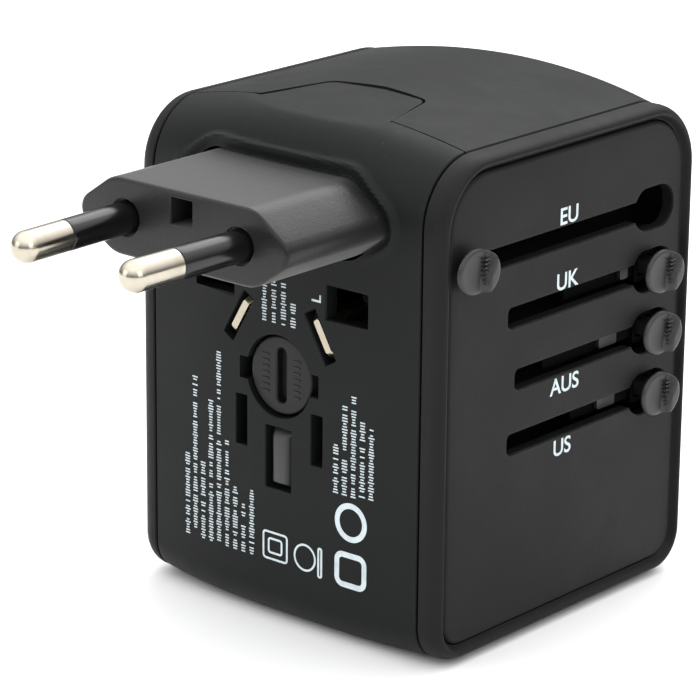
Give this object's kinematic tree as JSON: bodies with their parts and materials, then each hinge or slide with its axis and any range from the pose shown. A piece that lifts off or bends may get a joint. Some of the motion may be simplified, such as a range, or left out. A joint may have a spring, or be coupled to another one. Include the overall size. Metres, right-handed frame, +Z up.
{
  "type": "universal travel adapter",
  "caption": "Block-shaped travel adapter with slide-out plugs for several regions, finger sliders on one side, a twist-out fuse cap, a universal socket and USB sockets.",
  "frame": {"origin": "centre of the flat on the bottom that the adapter stands on", "axes": "-Y out of the plug face, +Y out of the socket face, +X towards the sliders, +Z up"},
  "size_m": [0.0544, 0.0883, 0.0669],
  "materials": {
    "black_plastic": "fine moulded texture, matte",
    "plug_black": "fine spark texture, satin",
    "sleeve_black": "smooth satin gloss",
    "knob_grey": "satin",
    "dark_plastic": "moulded, satin",
    "nickel": "nickel plate, polished",
    "steel": "zinc plate",
    "brass": "stamped strip",
    "fuse_glass": "clear",
    "board_green": "solder mask",
    "coil_tape": "film tape",
    "can_sleeve": "shrink sleeve"
  },
  "bodies": {
    "housing": {"front_shell": "black_plastic", "rear_shell": "black_plastic", "right_side_frame": "black_plastic", "left_side_frame": "black_plastic", "slider_panel": "black_plastic", "left_panel": "black_plastic", "socket_plate": "black_plastic", "guide_plate": "dark_plastic", "slider_guide": "dark_plastic", "contact_carrier": "dark_plastic", "fuse_holder": "dark_plastic", "fuse_glass": "fuse_glass", "fuse_end_cap_front": "nickel", "fuse_end_cap_rear": "nickel", "fuse_contact": "brass", "line_socket_contact": "brass", "neutral_socket_contact": "brass", "earth_socket_contact": "brass", "line_busbar": "brass", "neutral_busbar": "brass", "charger_board": "board_green", "charger_transformer": "coil_tape", "charger_capacitor_1": "can_sleeve", "charger_capacitor_2": "can_sleeve", "charger_capacitor_3": "can_sleeve", "usb_socket_1": "nickel", "usb_socket_2": "nickel", "usb_socket_3": "nickel", "usb_socket_4": "nickel", "case_screw_1": "steel", "case_screw_2": "steel", "case_screw_3": "steel", "case_screw_4": "steel"},
    "eu_plug": {"eu_plug_body": "plug_black", "eu_pin_left": "nickel", "eu_pin_right": "nickel", "eu_sleeve_left": "sleeve_black", "eu_sleeve_right": "sleeve_black", "eu_carriage": "dark_plastic", "eu_knob_spring": "steel"},
    "uk_plug": {"uk_carriage": "dark_plastic", "uk_pin_line": "nickel", "uk_pin_neutral": "nickel", "uk_earth_pin": "dark_plastic", "uk_knob_spring": "steel"},
    "aus_plug": {"aus_carriage": "dark_plastic", "aus_blade_left": "nickel", "aus_blade_right": "nickel", "aus_knob_spring": "steel"},
    "us_plug": {"us_carriage": "dark_plastic", "us_blade_left": "nickel", "us_blade_right": "nickel", "us_knob_spring": "steel"},
    "eu_button": {"eu_knob": "knob_grey"},
    "uk_button": {"uk_knob": "knob_grey"},
    "aus_button": {"aus_knob": "knob_grey"},
    "us_button": {"us_knob": "knob_grey"},
    "fuse_door": {"fuse_cap": "dark_plastic"}
  },
  "joints": [
    {"name": "eu_slide", "type": "slide", "parent": "housing", "child": "eu_plug", "axis": [0, 1, 0], "range_m": [0, 0.0383]},
    {"name": "uk_slide", "type": "slide", "parent": "housing", "child": "uk_plug", "axis": [0, -1, 0], "range_m": [0, 0.0239]},
    {"name": "aus_slide", "type": "slide", "parent": "housing", "child": "aus_plug", "axis": [0, -1, 0], "range_m": [0, 0.0199]},
    {"name": "us_slide", "type": "slide", "parent": "housing", "child": "us_plug", "axis": [0, -1, 0], "range_m": [0, 0.026]},
    {"name": "eu_press", "type": "slide", "parent": "eu_plug", "child": "eu_button", "axis": [-1, 0, 0], "range_m": [0, 0.0005], "stiffness_N_per_m": 400, "deforming": ["eu_knob_spring"]},
    {"name": "uk_press", "type": "slide", "parent": "uk_plug", "child": "uk_button", "axis": [-1, 0, 0], "range_m": [0, 0.0005], "stiffness_N_per_m": 400, "deforming": ["uk_knob_spring"]},
    {"name": "aus_press", "type": "slide", "parent": "aus_plug", "child": "aus_button", "axis": [-1, 0, 0], "range_m": [0, 0.0005], "stiffness_N_per_m": 400, "deforming": ["aus_knob_spring"]},
    {"name": "us_press", "type": "slide", "parent": "us_plug", "child": "us_button", "axis": [-1, 0, 0], "range_m": [0, 0.0005], "stiffness_N_per_m": 400, "deforming": ["us_knob_spring"]},
    {"name": "fuse_cap_turn", "type": "hinge", "parent": "housing", "child": "fuse_door", "pos_m": [0, -0.024, 0.03326], "axis": [0, -1, 0], "range_deg": [0, 90]}
  ]
}
